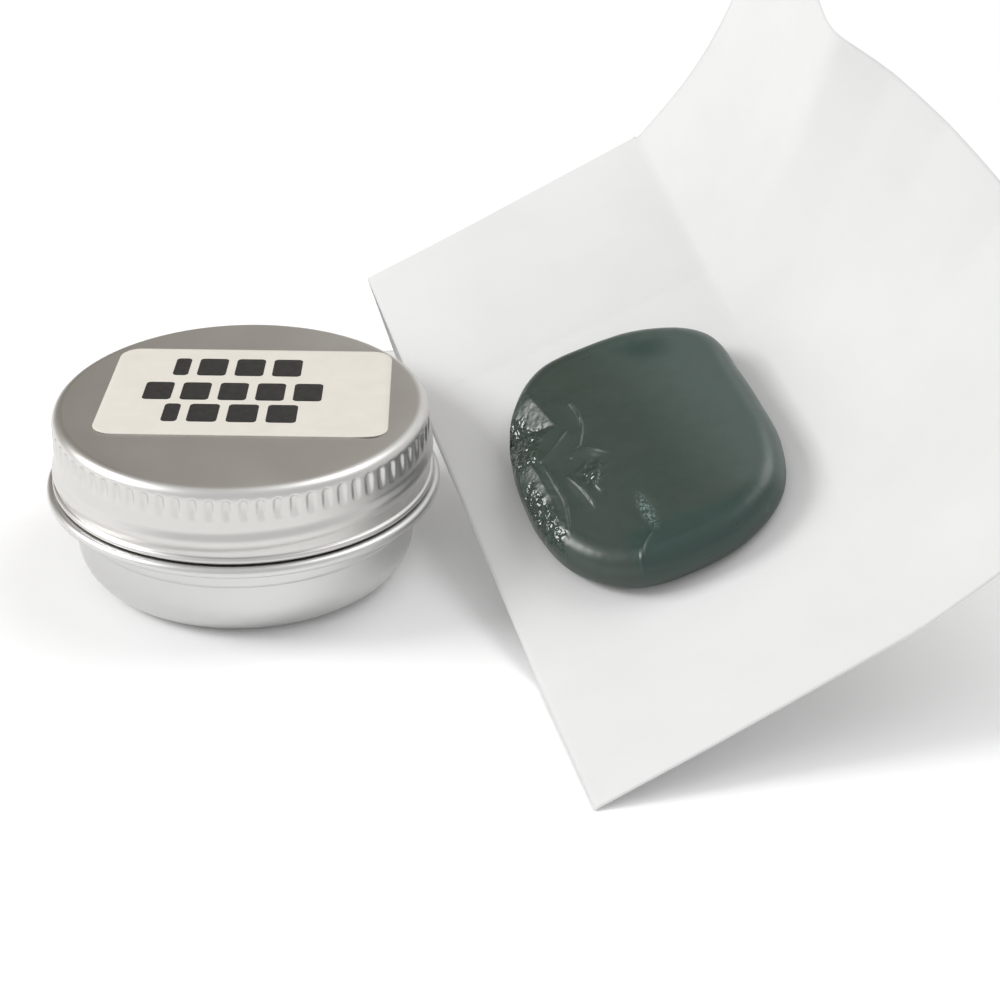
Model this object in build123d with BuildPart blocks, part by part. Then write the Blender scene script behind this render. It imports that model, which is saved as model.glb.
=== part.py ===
"""Screw-top aluminium tin with a green moulding-compound puck on its creased wrapper.

Units are millimetres, +Z is up and the floor is z = 0.  The tin stands on the
origin.  The wrapper sheet stands beside it as a creased ramp and the puck lies
on the sloping middle panel.
"""

import os
from math import cos, radians, sin

from build123d import *

os.makedirs("parts", exist_ok=True)

# ---- tin, driving dimensions ------------------------------------------------
BEAD_R = 20.0            # rolled bead, the widest ring of the tin
WALL = 0.35              # sheet thickness of base and lid
BASE_R = 17.3            # outside of the base wall
BASE_CORNER = 4.0        # outside radius between floor and wall
BEAD_Z = 9.4             # mid height of the rolled bead
BEAD_T = 1.2             # height of the rolled bead
NECK_R = 17.8            # outside of the neck inside the lid
NECK_TOP = 16.6          # lip of the neck
LIP_W = 1.4              # width of the curled lip
LIP_H = 1.2              # its height
LIP_ROUND = 0.4          # its corners
COVE = 0.7               # hollow under the bead
NECK_STEP = 1.0          # height of the slope inside, from base wall to neck
LID_R = 19.0             # outside of the lid skirt
LID_TOP = 18.0           # top face of the lid
LID_BOTTOM = 10.25       # hem of the lid skirt, just over the bead
LID_SHOULDER = 1.2       # rolled shoulder of the lid
RING_Z = 12.4            # rolled ring around the skirt
RING_H = 1.1             # half its height
RING_FLARE = 0.35        # how far the rolled ring stands out
HEM_FLARE = 0.2          # how far the hem stands out
HEM_H = 0.45             # height of the hem
FLUTES = 72              # pressed flutes around the lid
FLUTE_BOTTOM = 14.6
FLUTE_TOP = 17.1
FLUTE_DEPTH = 0.2
FLUTE_CUT_R = 0.8        # radius of the round tool that presses a flute

# ---- thread, the same pitch on neck and lid ---------------------------------
PITCH = 3.0
THREAD_TURNS = 1.2
THREAD_Z = 11.1          # start of the neck ridge
THREAD_H = 0.9           # height of a ridge at its root
THREAD_ROOT = 0.1        # how deep a ridge is sunk in its wall
NECK_CREST = 18.25       # crest radius of the neck ridge
LID_CREST = 18.05        # crest radius of the lid ridge

# ---- liner and label --------------------------------------------------------
LINER_R = 17.8
LINER_T = 0.7
LINER_GAP = 0.05         # under the lid's inner face
LINER_EDGE = 0.15        # chamfer of its rims
LABEL_W = 28.8
LABEL_H = 19.2
LABEL_T = 0.12
LABEL_CORNER = 2.4
LABEL_TURN = -1.8        # degrees about +Z
LABEL_SHIFT = (0.6, 2.1)

# ---- wrapper sheet ----------------------------------------------------------
SHEET_T = 0.25
CORNER = (29.8, -25.0, 0.35)   # where the near crease meets the left edge
LEVEL_DIR = -31.5        # degrees, heading of the level line of the ramp
TILT = 24.3              # degrees, slope of the ramp
TURN = 47.0              # degrees, from the level line to the sheet's width
PANEL_W = 33.6           # left edge to the long crease
PANEL_L = 60.0           # far fold to the near crease
SKEW = 0.16              # the sheet is out of square: rise of its cross lines
FLAP_L = 21.5            # near flap
FLAP_FOLD = 16.5         # degrees, near flap against the panel
WING_W = 31.5            # long crease to the right edge
FOOT_Z = 0.25            # the far flap's edge over the floor
# lines across the wing: where each starts on the long crease and ends on the
# outer edge, both from the near crease, and how many degrees it rises
WING_LINES = (
    (60.0, 60.0, 46.0),
    (38.0, 33.0, 56.0),
    (30.0, 28.0, 46.0),
    (22.0, 22.0, 38.0),
    (12.0, 12.0, 29.0),
    (0.0, 0.0, 22.0),
)
WING_END = 14.0          # degrees at the near edge

# ---- compound puck ----------------------------------------------------------
PUCK_W = 26.0
PUCK_L = 32.0
PUCK_T = 4.4
PUCK_CORNER = 11.5
PUCK_TOP_ROUND = 2.4
PUCK_FOOT_ROUND = 1.2
PUCK_TURN = 3.0          # degrees in the plane of the panel
PUCK_P = 18.5            # centre from the left edge
PUCK_Q = 21.3            # centre from the near left corner of the panel
PUCK_GAP = 0.06          # over the sheet's upper face


# ---- tin base: drawn cup with a rolled bead, a neck and a curled lip --------
with BuildPart() as tin_base:
    with BuildSketch(Plane.XZ):
        with BuildLine():
            Polyline(
                (0, 0),
                (BASE_R - BASE_CORNER, 0),
            )
            RadiusArc(
                (BASE_R - BASE_CORNER, 0),
                (BASE_R, BASE_CORNER),
                -BASE_CORNER,
            )
            Polyline(
                (BASE_R, BASE_CORNER),
                (BASE_R, BEAD_Z - BEAD_T / 2 - COVE),
                (BASE_R + COVE, BEAD_Z - BEAD_T / 2),
                (BEAD_R - BEAD_T / 2, BEAD_Z - BEAD_T / 2),
            )
            RadiusArc(
                (BEAD_R - BEAD_T / 2, BEAD_Z - BEAD_T / 2),
                (BEAD_R - BEAD_T / 2, BEAD_Z + BEAD_T / 2),
                -BEAD_T / 2,
            )
            Polyline(
                (BEAD_R - BEAD_T / 2, BEAD_Z + BEAD_T / 2),
                (NECK_R, BEAD_Z + BEAD_T / 2),
                (NECK_R, NECK_TOP - LIP_ROUND),
                (NECK_R - LIP_ROUND, NECK_TOP),
                (NECK_R - LIP_W + LIP_ROUND, NECK_TOP),
                (NECK_R - LIP_W, NECK_TOP - LIP_ROUND),
                (NECK_R - LIP_W, NECK_TOP - LIP_H + LIP_ROUND),
                (NECK_R - LIP_W + LIP_ROUND, NECK_TOP - LIP_H),
                (NECK_R - WALL, NECK_TOP - LIP_H),
                (NECK_R - WALL, BEAD_Z),
                (BASE_R - WALL, BEAD_Z - NECK_STEP),
                (BASE_R - WALL, BASE_CORNER),
            )
            RadiusArc(
                (BASE_R - WALL, BASE_CORNER),
                (BASE_R - BASE_CORNER, WALL),
                BASE_CORNER - WALL,
            )
            Polyline(
                (BASE_R - BASE_CORNER, WALL),
                (0, WALL),
                (0, 0),
            )
        make_face()
    revolve(axis=Axis.Z)
    # right-hand thread ridge on the neck
    neck_path = Helix(
        pitch=PITCH,
        height=PITCH * THREAD_TURNS,
        radius=NECK_R - THREAD_ROOT,
        center=(0, 0, THREAD_Z),
    )
    with BuildSketch(Plane(neck_path @ 0, x_dir=(1, 0, 0), z_dir=neck_path % 0)) as neck_ridge:
        with BuildLine():
            Polyline(
                (0, -THREAD_H / 2),
                (NECK_CREST - NECK_R + THREAD_ROOT, -THREAD_H / 5),
                (NECK_CREST - NECK_R + THREAD_ROOT, THREAD_H / 5),
                (0, THREAD_H / 2),
                close=True,
            )
        make_face()
    sweep(sections=neck_ridge.sketch, path=neck_path, is_frenet=True)
tin_base.part.label = "tin_base"

# ---- lid: flat top, rolled shoulder, fluted band, rolled ring and hem -------
with BuildPart() as lid_shell:
    with BuildSketch(Plane.XZ):
        with BuildLine():
            Polyline(
                (0, LID_TOP),
                (LID_R - LID_SHOULDER, LID_TOP),
            )
            RadiusArc(
                (LID_R - LID_SHOULDER, LID_TOP),
                (LID_R, LID_TOP - LID_SHOULDER),
                LID_SHOULDER,
            )
            Polyline(
                (LID_R, LID_TOP - LID_SHOULDER),
                (LID_R, RING_Z + RING_H),
                (LID_R + RING_FLARE, RING_Z + RING_H / 3),
                (LID_R + RING_FLARE, RING_Z - RING_H / 3),
                (LID_R, RING_Z - RING_H),
                (LID_R, LID_BOTTOM + HEM_H + HEM_FLARE),
                (LID_R + HEM_FLARE, LID_BOTTOM + HEM_H),
                (LID_R + HEM_FLARE, LID_BOTTOM),
                (LID_R - WALL, LID_BOTTOM),
                (LID_R - WALL, LID_TOP - LID_SHOULDER),
            )
            RadiusArc(
                (LID_R - WALL, LID_TOP - LID_SHOULDER),
                (LID_R - LID_SHOULDER, LID_TOP - WALL),
                -(LID_SHOULDER - WALL),
            )
            Polyline(
                (LID_R - LID_SHOULDER, LID_TOP - WALL),
                (0, LID_TOP - WALL),
                (0, LID_TOP),
            )
        make_face()
    revolve(axis=Axis.Z)
    # pressed flutes
    with Locations((0, 0, (FLUTE_BOTTOM + FLUTE_TOP) / 2)):
        with PolarLocations(LID_R + FLUTE_CUT_R - FLUTE_DEPTH, FLUTES):
            Cylinder(
                radius=FLUTE_CUT_R,
                height=FLUTE_TOP - FLUTE_BOTTOM,
                mode=Mode.SUBTRACT,
            )
    # matching ridge inside the skirt, half a pitch away from the neck's ridge
    lid_path = Helix(
        pitch=PITCH,
        height=PITCH * THREAD_TURNS,
        radius=LID_R - WALL + THREAD_ROOT,
        center=(0, 0, THREAD_Z + PITCH / 2),
    )
    with BuildSketch(Plane(lid_path @ 0, x_dir=(-1, 0, 0), z_dir=lid_path % 0)) as lid_ridge:
        with BuildLine():
            Polyline(
                (0, -THREAD_H / 2),
                (LID_R - WALL + THREAD_ROOT - LID_CREST, -THREAD_H / 5),
                (LID_R - WALL + THREAD_ROOT - LID_CREST, THREAD_H / 5),
                (0, THREAD_H / 2),
                close=True,
            )
        make_face()
    sweep(sections=lid_ridge.sketch, path=lid_path, is_frenet=True)
lid_shell.part.label = "lid_shell"

# ---- foam liner disc under the lid's top ------------------------------------
with BuildPart() as lid_liner:
    with BuildSketch(Plane.XY.offset(LID_TOP - WALL - LINER_GAP - LINER_T)):
        Circle(LINER_R)
    extrude(amount=LINER_T)
    chamfer(lid_liner.edges(), length=LINER_EDGE)
lid_liner.part.label = "lid_liner"

# ---- paper label on the lid -------------------------------------------------
with BuildPart() as lid_label:
    with BuildSketch(Plane.XY.offset(LID_TOP)):
        with Locations(LABEL_SHIFT):
            RectangleRounded(LABEL_W, LABEL_H, LABEL_CORNER, rotation=LABEL_TURN)
    extrude(amount=LABEL_T)
lid_label.part.label = "lid_label"

# ---- directions of the ramp -------------------------------------------------
level = Vector(cos(radians(LEVEL_DIR)), sin(radians(LEVEL_DIR)), 0)
ascent = Vector(
    -sin(radians(LEVEL_DIR)) * cos(radians(TILT)),
    cos(radians(LEVEL_DIR)) * cos(radians(TILT)),
    sin(radians(TILT)),
)
across = level * cos(radians(TURN)) + ascent * sin(radians(TURN))
upward = ascent * cos(radians(TURN)) - level * sin(radians(TURN))
normal = across.cross(upward)


def lean(angle):
    """Direction across the wing when it rises by angle degrees."""
    return across * cos(radians(angle)) + normal * sin(radians(angle))


def on_panel(aside, along):
    """Point of the panel, aside from the left edge and along from the near crease."""
    return near_left + across * aside + upward * (along + SKEW * aside)


def on_flap(aside, along):
    """Point of the near flap, along measured from the near crease towards the near edge."""
    return on_panel(aside, 0) + flap_dir * along


def off_wing(crease_point, rise):
    """Point of the wing's outer edge across from a point of the long crease."""
    return crease_point + (lean(rise) + upward * SKEW) * WING_W


def facet(*corners):
    """Flat piece of the sheet, its thickness shared to both sides."""
    face = Face(Wire.make_polygon(corners, close=True))
    extrude(face, amount=SHEET_T / 2, both=True)


def foot(point):
    """Where the far flap stands on the floor under a point of the far fold."""
    return point - normal * ((point.Z - FOOT_Z) / normal.Z)


near_left = Vector(*CORNER)
flap_dir = upward * -cos(radians(FLAP_FOLD)) + normal * sin(radians(FLAP_FOLD))
far_left = on_panel(0, PANEL_L)
far_right = on_panel(PANEL_W, PANEL_L)
inner = [on_panel(PANEL_W, start) for start, end, rise in WING_LINES]
outer = [off_wing(on_panel(PANEL_W, end), rise) for start, end, rise in WING_LINES]
inner.append(on_flap(PANEL_W, FLAP_L))
outer.append(off_wing(inner[-1], WING_END))

# ---- wrapper: one creased sheet, seen as flat facets ------------------------
with BuildPart() as wrapper_sheet:
    facet(on_panel(0, 0), on_panel(PANEL_W, 0), far_right, far_left)
    facet(on_panel(0, 0), on_flap(0, FLAP_L), on_flap(PANEL_W, FLAP_L), on_panel(PANEL_W, 0))
    facet(far_left, far_right, foot(far_right), foot(far_left))
    for strip in range(len(inner) - 1):
        facet(inner[strip], inner[strip + 1], outer[strip + 1])
        facet(inner[strip], outer[strip + 1], outer[strip])
wrapper_sheet.part.label = "wrapper_sheet"

# ---- puck of moulding compound on the middle panel --------------------------
puck_seat = near_left + across * PUCK_P + upward * PUCK_Q + normal * (SHEET_T / 2 + PUCK_GAP)
puck_plane = Plane(puck_seat, x_dir=across, z_dir=normal)
puck_axis = Axis(puck_seat, normal)
with BuildPart() as compound_puck:
    with BuildSketch(puck_plane):
        RectangleRounded(PUCK_W, PUCK_L, PUCK_CORNER, rotation=PUCK_TURN)
    extrude(amount=PUCK_T)
    fillet(compound_puck.faces().sort_by(puck_axis)[-1].edges(), radius=PUCK_TOP_ROUND)
    fillet(compound_puck.faces().sort_by(puck_axis)[0].edges(), radius=PUCK_FOOT_ROUND)
compound_puck.part.label = "compound_puck"

export_step(tin_base.part, "parts/tin_base.step")
export_step(lid_shell.part, "parts/lid_shell.step")
export_step(lid_liner.part, "parts/lid_liner.step")
export_step(lid_label.part, "parts/lid_label.step")
export_step(wrapper_sheet.part, "parts/wrapper_sheet.step")
export_step(compound_puck.part, "parts/compound_puck.step")
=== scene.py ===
"""Looks of the screw-top tin, its compound puck and its creased wrapper.

Lengths are given in millimetres in this script and turned into metres as each
mesh is written.  The tin's axis is the Z axis and the floor is z = 0.
"""

import math

import bpy
import numpy as np
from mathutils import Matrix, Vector


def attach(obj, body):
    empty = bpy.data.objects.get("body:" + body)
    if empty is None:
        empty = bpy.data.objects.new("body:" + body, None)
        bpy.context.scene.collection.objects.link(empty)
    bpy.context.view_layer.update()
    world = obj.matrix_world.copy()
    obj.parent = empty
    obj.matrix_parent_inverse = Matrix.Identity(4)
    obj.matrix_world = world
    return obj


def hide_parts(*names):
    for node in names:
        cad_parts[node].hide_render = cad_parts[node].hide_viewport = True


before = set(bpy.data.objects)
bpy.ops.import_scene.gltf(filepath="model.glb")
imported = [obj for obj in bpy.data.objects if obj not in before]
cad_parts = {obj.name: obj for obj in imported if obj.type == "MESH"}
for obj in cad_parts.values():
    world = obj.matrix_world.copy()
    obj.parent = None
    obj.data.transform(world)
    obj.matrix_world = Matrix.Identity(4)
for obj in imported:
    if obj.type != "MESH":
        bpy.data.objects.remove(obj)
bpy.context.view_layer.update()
MM = 0.001
TAU = 2.0 * math.pi

# ---- tin: the sizes of the CAD model, with the lid's hem 0.17 mm lower ----------
BEAD_R = 20.0
WALL = 0.35
# the first ring of the lid round its axis
POLE_R = 1.5
BASE_R = 17.3
BASE_CORNER = 4.0
BEAD_Z = 9.4
NECK_R = 17.8
NECK_TOP = 16.6
NECK_CREST = 18.25
LID_R = 19.0
LID_TOP = 18.0
LID_BOTTOM = 10.08
LID_SHOULDER = 1.2
LID_CREST = 18.05
RING_Z = 12.4
RING_FLARE = 0.33
HEM_FLARE = 0.18
# the rolled hem stands this high, and the middle of its roll is this far up
HEM_H = 0.75
HEM_MIDDLE = 0.37
PITCH = 3.0
THREAD_TURNS = 1.2
THREAD_START = BEAD_Z + 1.7
FLUTES = 72
FLUTE_BOTTOM = 14.55
FLUTE_TOP = 17.1
FLUTE_DEPTH = 0.27
FLUTE_HALF = 0.52
FLUTE_COLUMNS = 12
LINER_R = 17.8
LINER_T = 0.7
LINER_TOP = LID_TOP - WALL - 0.05
LABEL_W = 28.8
LABEL_H = 19.2
LABEL_T = 0.12
LABEL_GAP = 0.01
INK_GAP = 0.004
INK_T = 0.012
LABEL_CORNER = 2.0
LABEL_TURN = math.radians(-1.8)
LABEL_TAPER = 0.05
LABEL_SHIFT = (0.6, 2.1)

# ---- wrapper and puck: the sizes of the CAD model ------------------------------
NEAR_LEFT = np.array((29.8, -25.0, 0.35))
LEVEL_DIR = math.radians(-31.5)
TILT = math.radians(24.3)
TURN = math.radians(47.0)
PANEL_W = 33.6
PANEL_L = 60.0
SKEW = 0.16
FLAP_L = 21.5
FLAP_FOLD = 16.5
WING_W = 31.5
# lines across the wing: start on the long crease, end on the outer edge, degrees of rise
WING_LINES = (
    (0.0, 0.0, 22.0),
    (12.0, 12.0, 29.0),
    (22.0, 22.0, 38.0),
    (30.0, 28.0, 46.0),
    (38.0, 33.0, 56.0),
    (60.0, 60.0, 46.0),
)
# rise of the wing beside the end of the near flap, in degrees
WING_END = 14.0
LEG_L = 32.0
PAPER_T = 0.11
# the puck's centre lies 0.6 mm nearer the viewer along the paper than in the CAD model
PUCK_P = 18.4
PUCK_Q = 20.7
PUCK_GAP = 0.25
PUCK_T = 4.4
PUCK_FOOT = 1.3
PUCK_ROUND = 2.7
PUCK_CROWN = 0.3


# ---- small helpers ---------------------------------------------------------------
def smooth(x, low, high):
    """0 below low, 1 above high and a smooth step between."""
    t = np.clip((np.asarray(x, float) - low) / (high - low), 0.0, 1.0)
    return t * t * (3.0 - 2.0 * t)


def bell(x, centre, half):
    """A smooth bump of height 1 and half width half."""
    t = np.clip(np.abs(np.asarray(x, float) - centre) / half, 0.0, 1.0)
    return 0.5 + 0.5 * np.cos(math.pi * t)


def line(start, end, step):
    """Points from start to end, without the end."""
    start = np.array(start, float)
    end = np.array(end, float)
    count = max(1, int(round(np.linalg.norm(end - start) / step)))
    return [tuple(start + (end - start) * i / count) for i in range(count)]


def arc(centre, radius, first, last, count):
    """Points on an arc between two angles in degrees, without the last."""
    angles = np.radians(np.linspace(first, last, count + 1)[:-1])
    return [(centre[0] + radius * math.cos(a), centre[1] + radius * math.sin(a)) for a in angles]


def value_noise(x, y, z, seed):
    """Smooth repeatable noise between -1 and 1 on arrays of points."""

    def corner(i, j, k):
        h = np.sin(i * 127.1 + j * 311.7 + k * 74.7 + seed * 53.3) * 43758.5453
        return (h - np.floor(h)) * 2.0 - 1.0

    i, j, k = np.floor(x), np.floor(y), np.floor(z)
    u, v, w = x - i, y - j, z - k
    u, v, w = (t * t * (3.0 - 2.0 * t) for t in (u, v, w))
    total = 0.0
    for a in (0, 1):
        for b in (0, 1):
            for c in (0, 1):
                weight = (u if a else 1 - u) * (v if b else 1 - v) * (w if c else 1 - w)
                total = total + weight * corner(i + a, j + b, k + c)
    return total


def fractal(x, y, z, seed, octaves=4):
    """Layers of value noise, each twice as fine and half as strong."""
    total = 0.0
    for level in range(octaves):
        scale = 2.0**level
        total = total + value_noise(x * scale, y * scale, z * scale, seed + level) / scale
    return total


def add_mesh(name, points, faces, body, material, colors=None):
    """Make a smooth-shaded mesh object from points in mm and ride it on a body."""
    mesh = bpy.data.meshes.new(name)
    mesh.from_pydata((np.asarray(points, float) * MM).tolist(), [], faces)
    mesh.validate()
    mesh.shade_smooth()
    for layer, values in (colors or {}).items():
        attribute = mesh.attributes.new(layer, "FLOAT", "POINT")
        attribute.data.foreach_set("value", np.asarray(values, np.float32).ravel())
    piece = bpy.data.objects.new(name, mesh)
    bpy.context.scene.collection.objects.link(piece)
    mesh.materials.append(material)
    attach(piece, body)
    return piece


def turned_faces(rows, columns, poles):
    """Quads of a closed lathe grid with a pole at each end when poles is true."""
    faces = []
    for r in range(rows - 1):
        for c in range(columns):
            n = (c + 1) % columns
            a = r * columns
            b = (r + 1) * columns
            faces.append((a + c, b + c, b + n, a + n))
    if poles:
        first = rows * columns
        last = first + 1
        end = (rows - 1) * columns
        for c in range(columns):
            n = (c + 1) % columns
            faces.append((first, c, n))
            faces.append((last, end + n, end + c))
    return faces


def turned(name, profile, columns, body, material, shape=None):
    """Lathe a profile that starts and ends on the axis; shape moves each radius."""
    ring = np.array(profile[1:-1])
    theta = np.arange(columns) * TAU / columns
    radius = np.repeat(ring[:, :1], columns, axis=1)
    height = np.repeat(ring[:, 1:], columns, axis=1)
    turn = np.repeat(theta[None, :], len(ring), axis=0)
    if shape is not None:
        radius, height = shape(radius, height, turn)
    points = np.stack([radius * np.cos(turn), radius * np.sin(turn), height], axis=-1)
    poles = [(0.0, 0.0, profile[0][1]), (0.0, 0.0, profile[-1][1])]
    points = np.concatenate([points.reshape(-1, 3), poles])
    return add_mesh(name, points, turned_faces(len(ring), columns, True), body, material)


def helix_ridge(height, turn, start, half):
    """Height 1 on the crest of a right-hand ridge of THREAD_TURNS turns, fading at both ends."""
    total = np.zeros_like(height)
    for lap in range(int(math.ceil(THREAD_TURNS)) + 1):
        along = turn / TAU + lap
        inside = smooth(along, 0.0, 0.05) * (1.0 - smooth(along, THREAD_TURNS - 0.05, THREAD_TURNS))
        total = np.maximum(total, inside * bell(height, start + PITCH * along, half))
    return total


# ---- materials -------------------------------------------------------------------
def new_material(name):
    material = bpy.data.materials.new(name)
    material.use_nodes = True
    shader = material.node_tree.nodes["Principled BSDF"]
    return material, material.node_tree, shader


def noise_node(tree, scale, detail, roughness, coords=None):
    node = tree.nodes.new("ShaderNodeTexNoise")
    node.inputs["Scale"].default_value = scale
    node.inputs["Detail"].default_value = detail
    node.inputs["Roughness"].default_value = roughness
    if coords is not None:
        tree.links.new(coords, node.inputs["Vector"])
    return node


def ramp_node(tree, source, stops):
    node = tree.nodes.new("ShaderNodeValToRGB")
    tree.links.new(source, node.inputs["Fac"])
    elements = node.color_ramp.elements
    while len(elements) < len(stops):
        elements.new(0.5)
    for element, (place, color) in zip(elements, stops):
        element.position = place
        element.color = (*color, 1.0)
    return node


def range_node(tree, source, low, high, new_low, new_high):
    node = tree.nodes.new("ShaderNodeMapRange")
    tree.links.new(source, node.inputs["Value"])
    node.inputs["From Min"].default_value = low
    node.inputs["From Max"].default_value = high
    node.inputs["To Min"].default_value = new_low
    node.inputs["To Max"].default_value = new_high
    return node


def bump_node(tree, source, strength, distance, before=None):
    node = tree.nodes.new("ShaderNodeBump")
    node.inputs["Strength"].default_value = strength
    node.inputs["Distance"].default_value = distance
    tree.links.new(source, node.inputs["Height"])
    if before is not None:
        tree.links.new(before.outputs["Normal"], node.inputs["Normal"])
    return node


def object_coords(tree, scale=(1.0, 1.0, 1.0)):
    coords = tree.nodes.new("ShaderNodeTexCoord")
    mapping = tree.nodes.new("ShaderNodeMapping")
    mapping.inputs["Scale"].default_value = scale
    tree.links.new(coords.outputs["Object"], mapping.inputs["Vector"])
    return mapping.outputs["Vector"]


def satin_aluminium(name, tint, rough, grain):
    """Drawn aluminium: a fine grain along the rolling direction, faint smudges and tiny scratches."""
    material, tree, shader = new_material(name)
    shader.inputs["Metallic"].default_value = 1.0
    streaks = noise_node(tree, 900.0, 3.0, 0.6, object_coords(tree, grain))
    smudge = noise_node(tree, 90.0, 4.0, 0.55, object_coords(tree))
    fine = noise_node(tree, 5200.0, 2.0, 0.5, object_coords(tree))
    low = tuple(0.95 * c for c in tint)
    color = ramp_node(tree, smudge.outputs["Fac"], [(0.3, low), (0.7, tint)])
    tree.links.new(color.outputs["Color"], shader.inputs["Base Color"])
    rough_range = range_node(tree, smudge.outputs["Fac"], 0.3, 0.7, rough - 0.03, rough + 0.04)
    tree.links.new(rough_range.outputs["Result"], shader.inputs["Roughness"])
    streak_bump = bump_node(tree, streaks.outputs["Fac"], 0.04, 0.00001)
    fine_bump = bump_node(tree, fine.outputs["Fac"], 0.08, 0.00001, streak_bump)
    tree.links.new(fine_bump.outputs["Normal"], shader.inputs["Normal"])
    return material


def sticker_paper(name):
    """Off-white coated label paper with a faint mottle."""
    material, tree, shader = new_material(name)
    mottle = noise_node(tree, 420.0, 5.0, 0.6, object_coords(tree))
    stops = [(0.3, (0.70, 0.665, 0.60)), (0.75, (0.745, 0.71, 0.645))]
    color = ramp_node(tree, mottle.outputs["Fac"], stops)
    tree.links.new(color.outputs["Color"], shader.inputs["Base Color"])
    shader.inputs["Roughness"].default_value = 0.55
    shader.inputs["Specular IOR Level"].default_value = 0.35
    fibre = noise_node(tree, 3200.0, 3.0, 0.6, object_coords(tree))
    bump = bump_node(tree, fibre.outputs["Fac"], 0.12, 0.00002)
    tree.links.new(bump.outputs["Normal"], shader.inputs["Normal"])
    return material


def label_ink(name):
    """Black thermal print, slightly uneven."""
    material, tree, shader = new_material(name)
    patch = noise_node(tree, 1500.0, 4.0, 0.7, object_coords(tree))
    stops = [(0.35, (0.010, 0.010, 0.010)), (0.8, (0.030, 0.029, 0.028))]
    color = ramp_node(tree, patch.outputs["Fac"], stops)
    tree.links.new(color.outputs["Color"], shader.inputs["Base Color"])
    shader.inputs["Roughness"].default_value = 0.5
    bump = bump_node(tree, patch.outputs["Fac"], 0.1, 0.00002)
    tree.links.new(bump.outputs["Normal"], shader.inputs["Normal"])
    return material


def wrapper_paper(name):
    """Smooth white wrapping paper: fine fibre, faint cloudiness, soft waves."""
    material, tree, shader = new_material(name)
    cloud = noise_node(tree, 55.0, 5.0, 0.6, object_coords(tree))
    stops = [(0.3, (0.715, 0.715, 0.71)), (0.7, (0.755, 0.755, 0.75))]
    color = ramp_node(tree, cloud.outputs["Fac"], stops)
    tree.links.new(color.outputs["Color"], shader.inputs["Base Color"])
    shader.inputs["Roughness"].default_value = 0.62
    shader.inputs["Specular IOR Level"].default_value = 0.3
    fibre = noise_node(tree, 1800.0, 5.0, 0.65, object_coords(tree, (1.0, 1.6, 1.0)))
    wave = noise_node(tree, 160.0, 3.0, 0.5, object_coords(tree))
    soft = bump_node(tree, wave.outputs["Fac"], 0.10, 0.0002)
    fine = bump_node(tree, fibre.outputs["Fac"], 0.10, 0.00003, soft)
    tree.links.new(fine.outputs["Normal"], shader.inputs["Normal"])
    return material


def foam(name):
    """White closed-cell foam of the liner."""
    material, tree, shader = new_material(name)
    cells = tree.nodes.new("ShaderNodeTexVoronoi")
    cells.inputs["Scale"].default_value = 2600.0
    tree.links.new(object_coords(tree), cells.inputs["Vector"])
    stops = [(0.0, (0.88, 0.88, 0.86)), (0.6, (0.80, 0.80, 0.78))]
    color = ramp_node(tree, cells.outputs["Distance"], stops)
    tree.links.new(color.outputs["Color"], shader.inputs["Base Color"])
    shader.inputs["Roughness"].default_value = 0.75
    bump = bump_node(tree, cells.outputs["Distance"], 0.3, 0.00005)
    tree.links.new(bump.outputs["Normal"], shader.inputs["Normal"])
    return material


def mask_node(tree, name):
    """A colour mask carried by the mesh."""
    node = tree.nodes.new("ShaderNodeAttribute")
    node.attribute_name = name
    return node


def tinted(tree, below, mask, color):
    """Colour below, mixed towards a plain colour by a mask."""
    node = tree.nodes.new("ShaderNodeMix")
    node.data_type = "RGBA"
    tree.links.new(mask, node.inputs["Factor"])
    tree.links.new(below, node.inputs["A"])
    node.inputs["B"].default_value = (*color, 1.0)
    return node.outputs["Result"]


def product(tree, first, second):
    node = tree.nodes.new("ShaderNodeMath")
    node.operation = "MULTIPLY"
    tree.links.new(first, node.inputs[0])
    tree.links.new(second, node.inputs[1])
    return node.outputs["Value"]


def compound(name):
    """Glossy dark green moulding compound with pale scuffs, wet, crinkled places and a painted
    reflection that lightens it to teal-grey towards its right side.
    """
    material, tree, shader = new_material(name)
    coords = object_coords(tree)
    cloud = noise_node(tree, 130.0, 5.0, 0.62, coords)
    stops = [(0.30, (0.018, 0.038, 0.028)), (0.52, (0.024, 0.041, 0.031)), (0.74, (0.031, 0.044, 0.035))]
    base = ramp_node(tree, cloud.outputs["Fac"], stops)
    specks = noise_node(tree, 3600.0, 4.0, 0.75, coords)
    speck_mask = range_node(tree, specks.outputs["Fac"], 0.47, 0.60, 0.0, 1.0)
    color = base.outputs["Color"]
    # painted reflection: a lighter teal-grey mixed into the base colour towards the right side, standing
    # in for a bright room reflected in the gloss
    color = tinted(tree, color, mask_node(tree, "painted_reflection").outputs["Fac"], (0.054, 0.082, 0.073))
    color = tinted(tree, color, mask_node(tree, "deep").outputs["Fac"], (0.010, 0.036, 0.028))
    scuff = product(tree, mask_node(tree, "pale").outputs["Fac"], speck_mask.outputs["Result"])
    color = tinted(tree, color, scuff, (0.20, 0.29, 0.28))
    tree.links.new(color, shader.inputs["Base Color"])
    rough = range_node(tree, mask_node(tree, "wet").outputs["Fac"], 0.0, 1.0, 0.36, 0.09)
    tree.links.new(rough.outputs["Result"], shader.inputs["Roughness"])
    shader.inputs["Specular IOR Level"].default_value = 0.75
    orange = noise_node(tree, 650.0, 3.0, 0.5, coords)
    soft = bump_node(tree, orange.outputs["Fac"], 0.07, 0.0002)
    fine = bump_node(tree, specks.outputs["Fac"], 0.05, 0.00004, soft)
    tree.links.new(fine.outputs["Normal"], shader.inputs["Normal"])
    return material


def plain_floor(name):
    material, tree, shader = new_material(name)
    shader.inputs["Base Color"].default_value = (0.98, 0.98, 0.98, 1.0)
    shader.inputs["Roughness"].default_value = 0.9
    shader.inputs["Specular IOR Level"].default_value = 0.1
    return material


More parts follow.
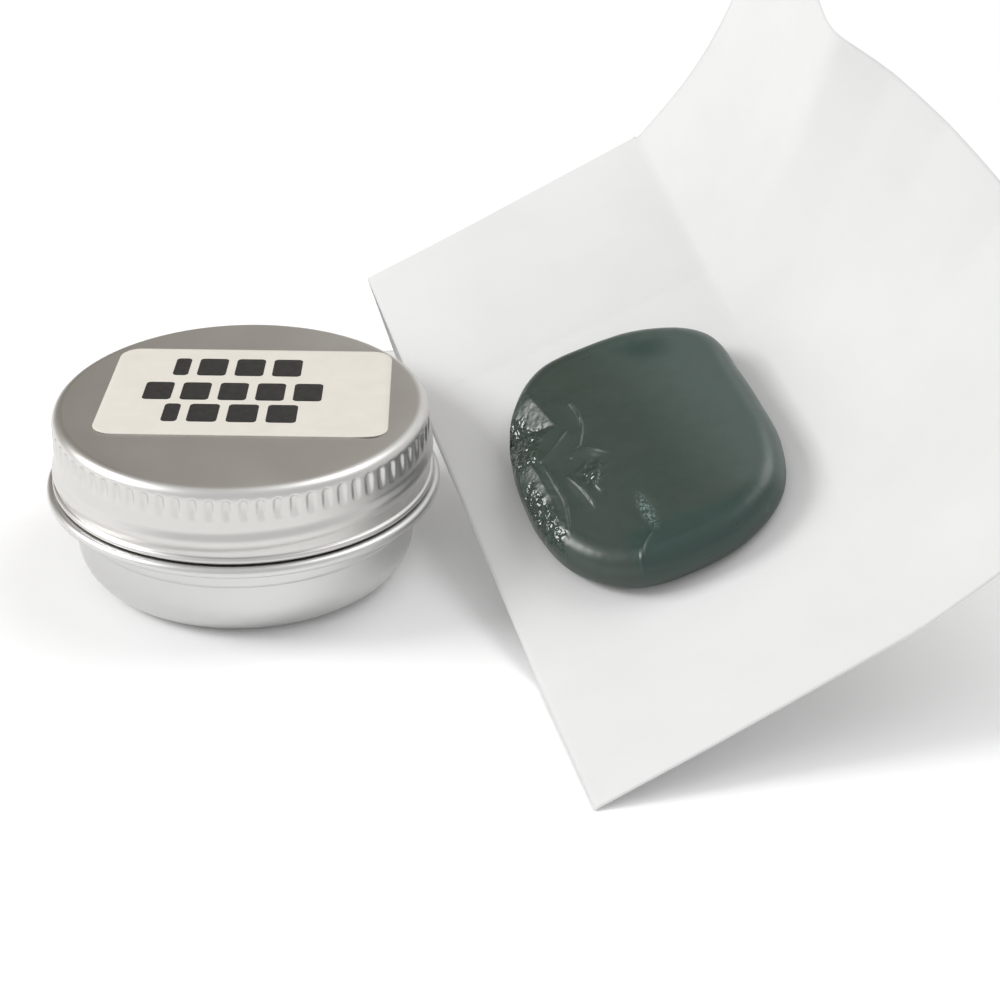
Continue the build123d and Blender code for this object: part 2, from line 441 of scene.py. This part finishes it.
LID_METAL = satin_aluminium("lid_metal", (0.69, 0.68, 0.66), 0.37, (0.06, 1.0, 1.0))
BASE_METAL = satin_aluminium("base_metal", (0.69, 0.69, 0.68), 0.37, (1.0, 1.0, 0.1))
LABEL_PAPER = sticker_paper("label_paper")
INK = label_ink("label_ink")
PAPER = wrapper_paper("wrapper_paper")
FOAM = foam("liner_foam")
COMPOUND = compound("green_compound")


# ---- lid ---------------------------------------------------------------------------
def flute_mark(height, turn):
    """1 at the bottom of a pressed flute, 0 on the ribs between."""
    spacing = TAU * LID_R / FLUTES
    across = (turn * FLUTES / TAU + 0.5) % 1.0 - 0.5
    along = np.clip(height, FLUTE_BOTTOM + FLUTE_HALF, FLUTE_TOP - FLUTE_HALF)
    distance = np.hypot(across * spacing, height - along)
    shallow_end = smooth(height, FLUTE_BOTTOM - 0.2, FLUTE_BOTTOM + 1.7)
    return shallow_end * (1.0 - smooth(distance, 0.45 * FLUTE_HALF, FLUTE_HALF))


def lid_shape(radius, height, turn):
    """Press the flutes and roll the screw ring and its inner ridge into the skirt."""
    side = smooth(radius, LID_CREST - 0.2, LID_CREST + 0.2) * (height < LID_TOP - 0.3)
    outer = radius > LID_R - WALL / 2
    ring_start = RING_Z - 0.75 * PITCH
    ring = helix_ridge(height, turn % TAU, ring_start, 1.25)
    ring = np.maximum(ring, 0.45 * bell(height, RING_Z - 0.2, 1.1))
    moved = radius - side * FLUTE_DEPTH * flute_mark(height, turn)
    moved = moved + np.where(outer, side * RING_FLARE * ring, 0.0)
    ridge = helix_ridge(height, turn, THREAD_START + PITCH / 2, 0.5)
    inner_depth = LID_R - WALL - LID_CREST
    moved = moved - np.where(outer, 0.0, side * inner_depth * ridge)
    return moved, height


def make_lid():
    hem = LID_R + HEM_FLARE
    inner = LID_R - WALL
    shoulder_r = LID_R - LID_SHOULDER
    shoulder_z = LID_TOP - LID_SHOULDER
    under = LID_TOP - WALL
    profile = [(0.0, LID_TOP)]
    profile += line((POLE_R, LID_TOP), (shoulder_r, LID_TOP), 1.6)
    profile += arc((shoulder_r, shoulder_z), LID_SHOULDER, 90, 0, 12)
    profile += line((LID_R, shoulder_z), (LID_R, LID_BOTTOM + HEM_H), 0.11)
    profile += arc((LID_R, LID_BOTTOM + HEM_MIDDLE), HEM_FLARE + 0.18, 90, -80, 10)
    profile += line((hem - 0.2, LID_BOTTOM), (inner, LID_BOTTOM + 0.05), 0.15)
    profile += line((inner, LID_BOTTOM + 0.15), (inner, shoulder_z), 0.16)
    profile += arc((shoulder_r, shoulder_z), LID_SHOULDER - WALL, 0, 90, 6)
    profile += line((shoulder_r, under), (POLE_R, under), 2.5)
    profile += [(0.0, under)]
    piece = turned("lid_skin", profile, FLUTES * FLUTE_COLUMNS, "lid", LID_METAL, lid_shape)
    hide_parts("lid_shell")


# ---- base --------------------------------------------------------------------------
def base_shape(radius, height, turn):
    """Roll the thread into the neck."""
    neck = (radius > NECK_R - WALL / 2) & (height > BEAD_Z + 1.1) & (radius < NECK_R + 0.2)
    ridge = helix_ridge(height, turn, THREAD_START, 0.5)
    return radius + np.where(neck, (NECK_CREST - NECK_R) * ridge, 0.0), height


def make_base():
    step_z = 6.1
    raised = 0.3
    raised_r = 10.6
    foot_ring = 11.6
    cove = 1.1
    bead = 0.6
    neck_round = 0.45
    lip = 0.55
    lip_z = NECK_TOP - lip
    corner_r = BASE_R - BASE_CORNER
    inner = BASE_R - WALL
    neck_in = NECK_R - WALL
    floor_z = WALL + raised
    # outside: raised middle, foot ring, corner, wall with its step, bead, neck and curled lip
    profile = [(0.0, raised)]
    profile += line((2.0, raised), (raised_r, raised), 2.2)
    profile += arc((raised_r, raised + 0.2), 0.2, -90, -60, 3)
    profile += line((raised_r + 0.3, 0.2), (foot_ring - 0.1, 0.0), 0.3)
    profile += line((foot_ring, 0.0), (corner_r, 0.0), 0.4)
    profile += arc((corner_r - 0.1, BASE_CORNER), BASE_CORNER, -90, 0, 20)
    profile += line((BASE_R - 0.1, BASE_CORNER), (BASE_R - 0.05, step_z), 0.3)
    profile += arc((BASE_R + 0.05, step_z + 0.25), 0.1, 180, 100, 4)
    profile += line((BASE_R + 0.08, step_z + 0.45), (BASE_R + 0.12, BEAD_Z - 1.9), 0.3)
    profile += arc((BASE_R + 0.12 + cove, BEAD_Z - 1.75), cove, 180, 95, 12)
    profile += line((BASE_R + 1.3, BEAD_Z - 0.64), (BEAD_R - 0.75, BEAD_Z - 0.62), 0.2)
    profile += arc((BEAD_R - bead, BEAD_Z), bead, -105, 105, 20)
    profile += line((BEAD_R - 0.8, BEAD_Z + 0.57), (NECK_R + 0.5, BEAD_Z + 0.57), 0.2)
    profile += arc((NECK_R + neck_round, BEAD_Z + 0.57 + neck_round), neck_round, -90, -180, 6)
    profile += line((NECK_R, BEAD_Z + 1.05), (NECK_R, lip_z), 0.12)
    profile += arc((NECK_R - 0.75, lip_z), lip, 0, 220, 16)
    # inside: down the neck, over the step, round the corner and across the bottom
    profile += line((NECK_R - 1.05, lip_z - 0.5), (neck_in, lip_z - 0.9), 0.2)
    profile += line((neck_in, lip_z - 0.9), (neck_in, BEAD_Z), 0.5)
    profile += line((neck_in, BEAD_Z), (inner, BEAD_Z - 1.0), 0.3)
    profile += line((inner, BEAD_Z - 1.0), (inner, BASE_CORNER), 0.5)
    profile += arc((corner_r, BASE_CORNER), BASE_CORNER - WALL, 0, -90, 14)
    profile += line((corner_r, WALL), (11.4, WALL), 0.4)
    profile += line((11.3, WALL), (raised_r, floor_z), 0.3)
    profile += line((raised_r - 0.1, floor_z), (2.0, floor_z), 2.2)
    profile += [(0.0, floor_z)]
    piece = turned("base_skin", profile, 360, "base", BASE_METAL, base_shape)
    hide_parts("tin_base")


# ---- liner -------------------------------------------------------------------------
def make_liner():
    edge = 0.15
    bottom = LINER_TOP - LINER_T

    def dimple(radius, height, turn):
        """The ring that the tin's lip presses into the foam."""
        press = bell(radius, NECK_R - 0.75, 0.9) * (height < bottom + 0.2)
        return radius, height + 0.12 * press

    profile = [(0.0, LINER_TOP)]
    profile += line((2.0, LINER_TOP), (LINER_R - edge, LINER_TOP), 2.0)
    profile += arc((LINER_R - edge, LINER_TOP - edge), edge, 90, 0, 5)
    profile += arc((LINER_R - edge, bottom + edge), edge, 0, -90, 5)
    profile += line((LINER_R - edge, bottom), (15.0, bottom), 0.2)
    profile += line((15.0, bottom), (2.0, bottom), 1.6)
    profile += [(0.0, bottom)]
    piece = turned("liner_disc", profile, 180, "liner", FOAM, dimple)
    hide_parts("lid_liner")


# ---- label and its print -------------------------------------------------------------
def rounded_outline(width, height, corner, count):
    """Points around a rounded rectangle, anticlockwise."""
    points = []
    for sx, sy, first in ((1, 1, 0), (-1, 1, 90), (-1, -1, 180), (1, -1, 270)):
        centre = (sx * (width / 2 - corner), sy * (height / 2 - corner))
        for i in range(count + 1):
            a = math.radians(first + 90.0 * i / count)
            points.append((centre[0] + corner * math.cos(a), centre[1] + corner * math.sin(a)))
    return np.array(points)


def on_label(x, y):
    """Place label coordinates on the lid: the label is cut a little wider at its near edge."""
    c, s = math.cos(LABEL_TURN), math.sin(LABEL_TURN)
    x = x * (1.0 - LABEL_TAPER * y / LABEL_H)
    return LABEL_SHIFT[0] + x * c - y * s, LABEL_SHIFT[1] + x * s + y * c


def curl(x, y):
    """How far the label stands off the lid: its near corners have lifted a little."""
    left = bell(np.hypot(x + LABEL_W / 2, y + LABEL_H / 2), 0.0, 2.6)
    right = bell(np.hypot(x - LABEL_W / 2 + 1.5, y + LABEL_H / 2), 0.0, 2.2)
    return 0.10 * left + 0.08 * right


def stacked_plate(outline, rings, bottom, top, edge):
    """A thin plate with a rounded rim as rings of points around a middle point."""
    centre = outline.mean(axis=0)
    rows = []
    levels = [(1.0 - i / rings, top) for i in range(rings - 1, -1, -1)]
    inset = 1.0 - edge
    for share, level in levels:
        rows.append((centre + (outline - centre) * share * inset, level))
    rows.append((centre + (outline - centre) * (1.0 - edge * 0.3), top - (top - bottom) * 0.25))
    rows.append((outline, bottom + (top - bottom) * 0.4))
    rows.append((outline, bottom))
    points = []
    for ring, level in rows:
        points += [(x, y, level) for x, y in ring]
    points.append((centre[0], centre[1], top))
    points.append((centre[0], centre[1], bottom))
    return np.array(points), len(rows)


def make_plate(name, outline, rings, bottom, top, edge, body, material):
    """Plate in label coordinates, laid on the lid with the label's curl."""
    points, rows = stacked_plate(outline, rings, bottom, top, edge)
    lift = curl(points[:, 0], points[:, 1])
    x, y = on_label(points[:, 0], points[:, 1])
    placed = np.stack([x, y, points[:, 2] + lift], axis=-1)
    return add_mesh(name, placed, turned_faces(rows, len(outline), True), body, material)


def make_label():
    outline = rounded_outline(LABEL_W, LABEL_H, LABEL_CORNER, 12)
    dense = []
    for i in range(len(outline)):
        a = outline[i]
        b = outline[(i + 1) % len(outline)]
        dense += line(a, b, 0.5)
    top = LID_TOP + LABEL_T
    bottom = LID_TOP + LABEL_GAP
    piece = make_plate("label_sheet", np.array(dense), 24, bottom, top, 0.006, "lid", LABEL_PAPER)
    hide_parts("lid_label")
    make_print(top)


def make_print(top):
    """Three rows of plain printed blocks."""
    block_h = 3.9
    block_corner = 0.45
    gap = 0.9
    low = top + INK_GAP
    # height of the row, its centre and the widths of its blocks
    rows = (
        (5.4, -1.6, (1.6, 3.0, 3.0, 3.0)),
        (-0.1, -1.5, (2.9, 2.9, 2.9, 2.9, 2.9)),
        (-4.9, -1.3, (1.6, 3.0, 3.0, 3.0)),
    )
    for r, (y, centre, widths) in enumerate(rows):
        x = centre - (sum(widths) + gap * (len(widths) - 1)) / 2
        for c, width in enumerate(widths):
            outline = rounded_outline(width, block_h, block_corner, 5) + (x + width / 2, y)
            name = "print_block_%d_%d" % (r + 1, c + 1)
            block = make_plate(name, outline, 2, low, low + INK_T, 0.02, "lid", INK)
            x += width + gap


# ---- directions of the ramp -----------------------------------------------------------
level = np.array((math.cos(LEVEL_DIR), math.sin(LEVEL_DIR), 0.0))
ascent = np.array(
    (
        -math.sin(LEVEL_DIR) * math.cos(TILT),
        math.cos(LEVEL_DIR) * math.cos(TILT),
        math.sin(TILT),
    )
)
across = level * math.cos(TURN) + ascent * math.sin(TURN)
upward = ascent * math.cos(TURN) - level * math.sin(TURN)
normal = np.cross(across, upward)


# ---- wrapper -------------------------------------------------------------------------
STEP = 0.5
# the crease across the panel: its height at the left edge and its fall towards the right
CROSS_LEFT = 41.0
CROSS_SLOPE = 0.085
BELLY = math.radians(1.4)
FAR_RISE = math.radians(5.0)
FOLD_HALF = 0.5
CREASE_HALF = 0.7
CREASE_H = 0.05
LONG_CREASE_H = 0.06
# the wing bends by this share of its rise at the long crease, and by this much more further out
WING_SHARE = 0.62
WING_GAIN = 0.55
WING_GAIN_W = 24.0
WING_STEPS = 20
PANEL_COLUMNS = 68
WING_COLUMNS = 64
LOWEST = 0.12
LEG_FLOOR = 0.15


def along_angles(along, wide):
    """Angle of the sheet against the panel's upward direction, in radians."""
    near = -math.radians(FLAP_FOLD) * (1.0 - smooth(along, -FOLD_HALF, FOLD_HALF))
    belly = -BELLY * np.sin(np.clip(along / CROSS_LEFT, 0.0, 1.0) * math.pi)
    cross = CROSS_LEFT - CROSS_SLOPE * np.minimum(wide, PANEL_W)
    far = FAR_RISE * smooth(along - cross, -FOLD_HALF, FOLD_HALF)
    return near + belly + far


def wing_rise(along, part):
    """How steeply the wing leaves the panel, in radians, along a line of the wing."""
    share = part / WING_W
    starts = [-FLAP_L] + [line_of[0] for line_of in WING_LINES]
    ends = [-FLAP_L] + [line_of[1] for line_of in WING_LINES]
    rises = [WING_END] + [line_of[2] for line_of in WING_LINES]
    places = np.array(starts) + np.outer(share.ravel(), np.array(ends) - np.array(starts))
    along = along.ravel()
    result = np.empty_like(along)
    for i in range(len(along)):
        result[i] = np.interp(along[i], places[i], rises)
    return np.radians(result.reshape(share.shape))


def crease_lines(along, wide):
    """Height of the thin pressed ridges that folding leaves in paper."""
    cross = CROSS_LEFT - CROSS_SLOPE * wide
    panel = wide < PANEL_W
    near = CREASE_H * bell(along, 0.0, CREASE_HALF)
    far = CREASE_H * bell(along - cross, 0.0, CREASE_HALF) * panel
    return near - far + LONG_CREASE_H * bell(wide, PANEL_W, CREASE_HALF)


def paper_waves(along, wide):
    """Slight unevenness of handled paper."""
    soft = 0.20 * value_noise(along / 16.0, wide / 13.0, along * 0, 3)
    fine = 0.05 * value_noise(along / 6.0, wide / 7.0, along * 0, 5)
    return soft + fine


def sheet_grid():
    """Points of the main sheet in rows along it, and the places across it."""
    rows = np.arange(-FLAP_L, PANEL_L + STEP / 2, STEP)
    inner = np.linspace(0.0, PANEL_W, PANEL_COLUMNS)
    outer = np.linspace(PANEL_W, PANEL_W + WING_W, WING_COLUMNS)[1:]
    wide = np.concatenate([inner, outer])
    along, aside = np.meshgrid(rows, wide, indexing="ij")
    angle = along_angles(along, aside)
    zero = np.argmin(np.abs(rows))
    u = np.cumsum(np.cos(angle), axis=0) * STEP
    v = np.cumsum(np.sin(angle), axis=0) * STEP
    u = u - u[zero] + SKEW * aside
    v = v - v[zero]
    beyond = np.clip(aside - PANEL_W, 0.0, None)
    c = np.minimum(aside, PANEL_W)
    for i in range(WING_STEPS):
        part = beyond * (i + 0.5) / WING_STEPS
        bend = wing_rise(along, part) * (WING_SHARE + WING_GAIN * smooth(part, 0.0, WING_GAIN_W))
        bend = bend * smooth(part, -FOLD_HALF, FOLD_HALF)
        c = c + np.cos(bend) * beyond / WING_STEPS
        v = v + np.sin(bend) * beyond / WING_STEPS
    v = v + crease_lines(along, aside) + paper_waves(along, aside)
    points = NEAR_LEFT + c[..., None] * across + u[..., None] * upward + v[..., None] * normal
    points[..., 2] = np.maximum(points[..., 2], LOWEST)
    return points, wide


def leg_rows(ridge):
    """The far flap: folded down behind the ramp, then out along the floor."""
    fold = ridge[-1] - ridge[0]
    fold = fold / np.linalg.norm(fold)
    outward = np.array((-fold[1], fold[0], 0.0))
    outward = outward / np.linalg.norm(outward)
    rows = []
    current = ridge.copy()
    for i in range(int(LEG_L / STEP)):
        turn = math.radians(90.0) * min(1.0, (i + 1) / 4.0)
        hanging = upward * math.cos(turn) - normal * math.sin(turn)
        hangs = smooth(current[:, 2:3], LEG_FLOOR, LEG_FLOOR + 1.2)
        direction = hanging * hangs + outward * (1.0 - hangs)
        direction = direction / np.linalg.norm(direction, axis=1, keepdims=True)
        current = current + direction * STEP
        current[:, 2] = np.maximum(current[:, 2], LEG_FLOOR)
        rows.append(current.copy())
    return np.array(rows)


def make_wrapper():
    points, wide = sheet_grid()
    row_count, columns = points.shape[:2]
    faces = []
    for r in range(row_count - 1):
        for c in range(columns - 1):
            a = r * columns + c
            faces.append((a, a + 1, a + columns + 1, a + columns))
    tab_columns = int(np.sum(wide <= PANEL_W + STEP / 10))
    tab = leg_rows(points[-1, :tab_columns])
    first = row_count * columns
    top = (row_count - 1) * columns
    for r in range(len(tab)):
        for c in range(tab_columns - 1):
            a = top + c if r == 0 else first + (r - 1) * tab_columns + c
            b = first + r * tab_columns + c
            faces.append((a, a + 1, b + 1, b))
    points = np.concatenate([points.reshape(-1, 3), tab.reshape(-1, 3)])
    piece = add_mesh("wrapper_paper_sheet", points, faces, "wrapper", PAPER)
    thicken = piece.modifiers.new("thickness", "SOLIDIFY")
    thicken.thickness = PAPER_T * MM
    thicken.offset = -1.0
    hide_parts("wrapper_sheet")


# ---- puck ----------------------------------------------------------------------------
PUCK_COLUMNS = 760
TOP_RINGS = 110
SHOULDER_RINGS = 71
FOOT_RINGS = 15
BOTTOM_RINGS = 12
SHOULDER_POWER = 2.0 / 2.3
# half widths of the puck in sixteen directions, from across towards upward
OUTLINE = (
    *(13.2, 13.9, 16.4, 16.4, 16.0, 16.4, 14.9, 13.4),
    *(12.9, 13.7, 15.3, 16.3, 15.9, 15.9, 15.6, 14.2),
)


def spline_between(p0, p1, p2, p3, t):
    """The smooth curve from p1 to p2, given the points before and after them."""
    square = 2 * p0 - 5 * p1 + 4 * p2 - p3
    cube = 3 * (p1 - p2) + p3 - p0
    return p1 + 0.5 * t * (p2 - p0 + t * (square + t * cube))


def puck_radius(angle):
    """A smooth closed outline through the half widths."""
    count = len(OUTLINE)
    place = (angle / TAU * count) % count
    i = np.floor(place).astype(int)
    t = place - i
    radii = np.array(OUTLINE)
    p0, p1, p2, p3 = (radii[(i + k) % count] for k in (-1, 0, 1, 2))
    return spline_between(p0, p1, p2, p3, t)


def path_distance(x, y, path):
    """Distance to a run of straight strokes, and whether the point lies on its left."""
    tie = 1e-9
    path = np.array(path, float)
    nearest = np.full(np.shape(x), 1e9)
    offset = np.zeros(np.shape(x))
    for a, b in zip(path[:-1], path[1:]):
        run = b - a
        t = np.clip(((x - a[0]) * run[0] + (y - a[1]) * run[1]) / (run @ run), 0.0, 1.0)
        gap = np.hypot(x - a[0] - t * run[0], y - a[1] - t * run[1])
        aside = (run[0] * (y - a[1]) - run[1] * (x - a[0])) / np.hypot(*run)
        tied = (np.abs(gap - nearest) <= tie) & (np.abs(aside) > np.abs(offset))
        offset = np.where((gap < nearest - tie) | tied, aside, offset)
        nearest = np.minimum(nearest, gap)
    return nearest, offset > 0.0


def stroke(x, y, path, half):
    """1 on a smooth curve through four points, thinning out at both ends, 0 beyond half."""
    p = np.array(path, float)
    nearest = np.full(np.shape(x), 1e9)
    weight = np.zeros(np.shape(x))
    for t in np.linspace(0.0, 1.0, 90):
        k = min(int(t * 3), 2)
        f = t * 3 - k
        before = p[max(k - 1, 0)]
        after = p[min(k + 2, 3)]
        place = spline_between(before, p[k], p[k + 1], after, f)
        gap = np.hypot(x - place[0], y - place[1])
        weight = np.where(gap < nearest, math.sin(math.pi * t) ** 0.6, weight)
        nearest = np.minimum(nearest, gap)
    return weight * bell(nearest, 0.0, half)


def spot(x, y, strength, cx, cy, rx, ry, turn):
    """A soft oval patch, strength at its centre and 0 at its rim."""
    c, s = math.cos(math.radians(turn)), math.sin(math.radians(turn))
    a = ((x - cx) * c + (y - cy) * s) / rx
    b = (-(x - cx) * s + (y - cy) * c) / ry
    return strength * bell(np.hypot(a, b), 0.0, 1.0)


# the left side is pressed down from this edge outwards, steeper the further out
FACET_EDGE = (
    (-6.8, 14.0),
    (-7.3, 10.7),
    (-6.7, 5.6),
    (-8.4, 4.6),
    (-10.0, 2.2),
    (-9.7, -3.1),
    (-9.9, -7.3),
    (-11.0, -11.0),
)
FACET_SLOPE = 0.38
FACET_BEND = 0.06
FACET_DROP = 0.05
CRINKLE_DRY = 0.02
CRINKLE_WET = 0.10
CRINKLES_PER_MM = 2.1
RIDGE_HALF = 0.24
SWELL_HALF = 1.1
# ridges of the face: four points along each and its height
CREASES = (
    (((-4.6, 8.0), (-4.3, 6.0), (-4.5, 4.0), (-5.7, 1.4)), 0.26),
    (((-6.0, 4.4), (-7.0, 3.6), (-8.2, 2.7), (-9.8, 1.8)), 0.20),
    (((-7.9, -1.2), (-7.2, -3.2), (-6.8, -4.9), (-6.6, -6.7)), 0.22),
    (((-2.6, -11.9), (-3.8, -13.0), (-4.7, -14.6), (-5.6, -17.3)), 0.20),
    (((-6.8, 0.6), (-5.8, 1.3), (-4.6, 0.9), (-3.0, -0.6)), 0.18),
    (((-9.6, 1.6), (-9.3, -1.8), (-9.2, -4.8), (-10.0, -8.4)), 0.16),
    (((-4.9, -2.2), (-5.2, -3.0), (-5.6, -3.8), (-5.3, -5.0)), 0.16),
)


# soft oval patches: strength, centre, half widths and turn in degrees
PUCKER = (1.0, -5.6, -1.9, 2.2, 2.8, 0.0)
HOLLOWS = ((0.18, -5.4, -0.4, 1.9, 1.5, 0.0), (0.12, -2.2, -9.0, 1.5, 4.2, 6.0))
WET_PATCHES = ((1.0, -11.4, 5.6, 4.2, 6.4, 0.0), (1.0, -11.9, -4.8, 2.6, 6.8, 3.0))
DEEP_PATCH = (0.8, 4.6, 11.4, 4.6, 2.8, -32.0)
PALE_PATCHES = (
    (1.0, -2.2, -9.2, 0.95, 3.4, 4.0),
    (0.8, 1.0, -17.6, 3.4, 1.1, 10.0),
    (0.8, 9.3, -14.1, 1.2, 1.6, 0.0),
)


def puck_face(x, y):
    """Height changes of the puck's face and the masks of its colour, its painted reflection and its
    gloss.
    """
    zero = x * 0.0
    lift = 0.08 * value_noise(x / 9.0 + 3.1, y / 9.0, zero, 11)
    lift = lift + 0.018 * fractal(x / 1.7, y / 1.7, zero, 13, 3)
    ragged = 0.9 * fractal(x / 1.3, y / 1.3, zero, 41, 3)
    uneven = 0.75 + 0.35 * value_noise(x / 0.9, y / 0.9, zero, 51)
    for path, height in CREASES:
        lift = lift + height * uneven * stroke(x, y, path, RIDGE_HALF)
        lift = lift + 0.35 * height * stroke(x, y, path, SWELL_HALF)
    pucker = spot(x, y, *PUCKER)
    lift = lift + pucker * 0.16 * fractal(x * 1.5, y * 1.5, zero, 31, 3)
    for hollow in HOLLOWS:
        lift = lift - spot(x, y, *hollow)
    wet = np.maximum.reduce([spot(x, y, *patch) for patch in WET_PATCHES])
    wet = smooth(wet + 0.25 * ragged, 0.10, 0.55)
    frayed = 0.3 * ragged
    deep = smooth(-y + frayed, 10.2, 12.2) * smooth(x, -6.0, -4.6)
    deep = np.maximum(deep, spot(x + frayed, y + frayed, *DEEP_PATCH))
    # painted reflection mask: grows towards the right side and stops short of the near edge
    painted_reflection = smooth(x + 0.25 * y + 0.6 * ragged, -1.0, 10.5) * (1.0 - smooth(-y, 9.2, 12.2))
    pale = np.maximum.reduce([spot(x, y, *patch) for patch in PALE_PATCHES])
    shiny = np.clip(wet + 0.6 * pucker, 0.0, 1.0)
    return lift, wet, {"deep": deep, "painted_reflection": painted_reflection, "pale": pale, "wet": shiny}


def puck_profile(radius):
    """Rings of the puck as distances and heights: crowned top, rounded shoulder, small round foot."""
    columns = len(radius)
    flat = radius - PUCK_ROUND
    edge = PUCK_T - PUCK_CROWN
    rows = []
    for share in np.linspace(0.0, 1.0, TOP_RINGS)[1:]:
        rows.append((flat * share, np.full(columns, PUCK_T - PUCK_CROWN * share**3)))
    for turn in np.radians(np.linspace(0.0, 90.0, SHOULDER_RINGS)[1:]):
        out = PUCK_ROUND * math.sin(turn) ** SHOULDER_POWER
        down = (edge - PUCK_FOOT) * max(math.cos(turn), 0.0) ** SHOULDER_POWER
        rows.append((flat + out, np.full(columns, PUCK_FOOT + down)))
    for turn in np.radians(np.linspace(0.0, 90.0, FOOT_RINGS)[1:]):
        inward = PUCK_FOOT * (1.0 - math.cos(turn))
        rows.append((radius - inward, np.full(columns, PUCK_FOOT * (1.0 - math.sin(turn)))))
    for share in np.linspace(1.0, 0.0, BOTTOM_RINGS)[1:-1]:
        rows.append(((radius - PUCK_FOOT) * share, np.zeros(columns)))
    return np.array([row[0] for row in rows]), np.array([row[1] for row in rows])


def make_puck():
    angle = np.arange(PUCK_COLUMNS) * TAU / PUCK_COLUMNS
    r, h = puck_profile(puck_radius(angle))
    a = np.repeat(angle[None, :], len(r), axis=0)
    x = np.concatenate([(r * np.cos(a)).ravel(), [0.0, 0.0]])
    y = np.concatenate([(r * np.sin(a)).ravel(), [0.0, 0.0]])
    h = np.concatenate([h.ravel(), [PUCK_T, 0.0]])
    lift, wet, marks = puck_face(x, y)
    gap, outside = path_distance(x, y, FACET_EDGE)
    facet = PUCK_T - FACET_DROP - FACET_SLOPE * gap - FACET_BEND * gap**2
    facet = np.where(outside, h, facet)
    upper = smooth(h, PUCK_FOOT + 0.1, PUCK_FOOT + 0.9)
    pressed = np.minimum(h, np.maximum(facet, PUCK_FOOT))
    h = h + upper * (pressed - h)
    folds = fractal(x * CRINKLES_PER_MM, y * CRINKLES_PER_MM, x * 0.0, 21, 3)
    crinkle = (CRINKLE_DRY + CRINKLE_WET * wet) * ~outside * folds
    h = h + upper * (lift + crinkle)
    marks = {name: values * upper for name, values in marks.items()}
    seat = NEAR_LEFT + across * PUCK_P + upward * PUCK_Q + normal * PUCK_GAP
    points = seat + x[:, None] * across + y[:, None] * upward + h[:, None] * normal
    faces = turned_faces(len(r), PUCK_COLUMNS, True)
    piece = add_mesh("compound_lump", points, faces, "compound", COMPOUND, marks)
    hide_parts("compound_puck")


# ---- build everything ------------------------------------------------------------------
make_lid()
make_base()
make_liner()
make_label()
make_wrapper()
make_puck()


# ---- floor, lights and camera ----------------------------------------------------------
def make_floor():
    half = 2.5
    mesh = bpy.data.meshes.new("studio_floor")
    corners = [(-half, -half, 0.0), (half, -half, 0.0), (half, half, 0.0), (-half, half, 0.0)]
    mesh.from_pydata(corners, [], [(0, 1, 2, 3)])
    floor = bpy.data.objects.new("studio_floor", mesh)
    bpy.context.scene.collection.objects.link(floor)
    mesh.materials.append(plain_floor("floor_pale"))


def add_softbox(name, place, aim, size, power):
    data = bpy.data.lights.new(name, "AREA")
    data.shape = "RECTANGLE"
    data.size = size[0]
    data.size_y = size[1]
    data.energy = power
    light = bpy.data.objects.new(name, data)
    bpy.context.scene.collection.objects.link(light)
    light.location = place
    direction = Vector(aim) - Vector(place)
    light.rotation_euler = direction.to_track_quat("-Z", "Y").to_euler()


def make_world():
    """A pale room: dim overhead and at the back left, bright at the back right."""
    world = bpy.data.worlds.new("studio_world")
    bpy.context.scene.world = world
    world.use_nodes = True
    tree = world.node_tree
    back = tree.nodes["Background"]
    coords = tree.nodes.new("ShaderNodeTexCoord")
    split = tree.nodes.new("ShaderNodeSeparateXYZ")
    tree.links.new(coords.outputs["Generated"], split.inputs["Vector"])
    sideways = range_node(tree, split.outputs["X"], -0.22, 0.34, 0.0, 1.0)
    rear = ramp_node(
        tree,
        sideways.outputs["Result"],
        [(0.0, (0.24, 0.215, 0.18)), (0.5, (0.50, 0.475, 0.44)), (1.0, (0.86, 0.86, 0.86))],
    )
    front_share = range_node(tree, split.outputs["Y"], 0.15, 0.55, 0.0, 1.0)
    tone = tree.nodes.new("ShaderNodeMix")
    tone.data_type = "RGBA"
    tree.links.new(front_share.outputs["Result"], tone.inputs["Factor"])
    tone.inputs["A"].default_value = (0.67, 0.67, 0.675, 1.0)
    tree.links.new(rear.outputs["Color"], tone.inputs["B"])
    tree.links.new(tone.outputs["Result"], back.inputs["Color"])
    back.inputs["Strength"].default_value = 1.0


def make_camera():
    """The view of the photograph: 28.8 degrees above the tin, from straight in front."""
    elevation = math.radians(28.8)
    distance = 300.0
    data = bpy.data.cameras.new("studio_camera")
    data.sensor_width = 36.0
    data.lens = 105.7
    data.clip_start = 0.01
    data.clip_end = 20.0
    camera = bpy.data.objects.new("studio_camera", data)
    bpy.context.scene.collection.objects.link(camera)
    forward = np.array((0.0, math.cos(elevation), -math.sin(elevation)))
    up = np.array((0.0, math.sin(elevation), math.cos(elevation)))
    right = np.array((1.0, 0.0, 0.0))
    tin_middle = np.array((0.0, 0.0, LID_TOP / 2))
    aim_right = 26.11
    aim_down = 2.01
    middle = tin_middle + aim_right * right - aim_down * up
    camera.location = Vector((middle - distance * forward) * MM)
    camera.rotation_euler = (math.radians(90.0) - elevation, 0.0, 0.0)
    bpy.context.scene.camera = camera


make_floor()
make_world()
# place and aim, width and height in metres, and power in watts
add_softbox("key_left", (-0.60, -0.05, 0.42), (0.03, 0.0, 0.01), (0.30, 0.30), 3.2)
add_softbox("fill_right", (0.45, 0.10, 0.75), (0.03, 0.0, 0.0), (0.5, 0.5), 1.7)
make_camera()
bpy.context.scene.view_settings.view_transform = "Standard"
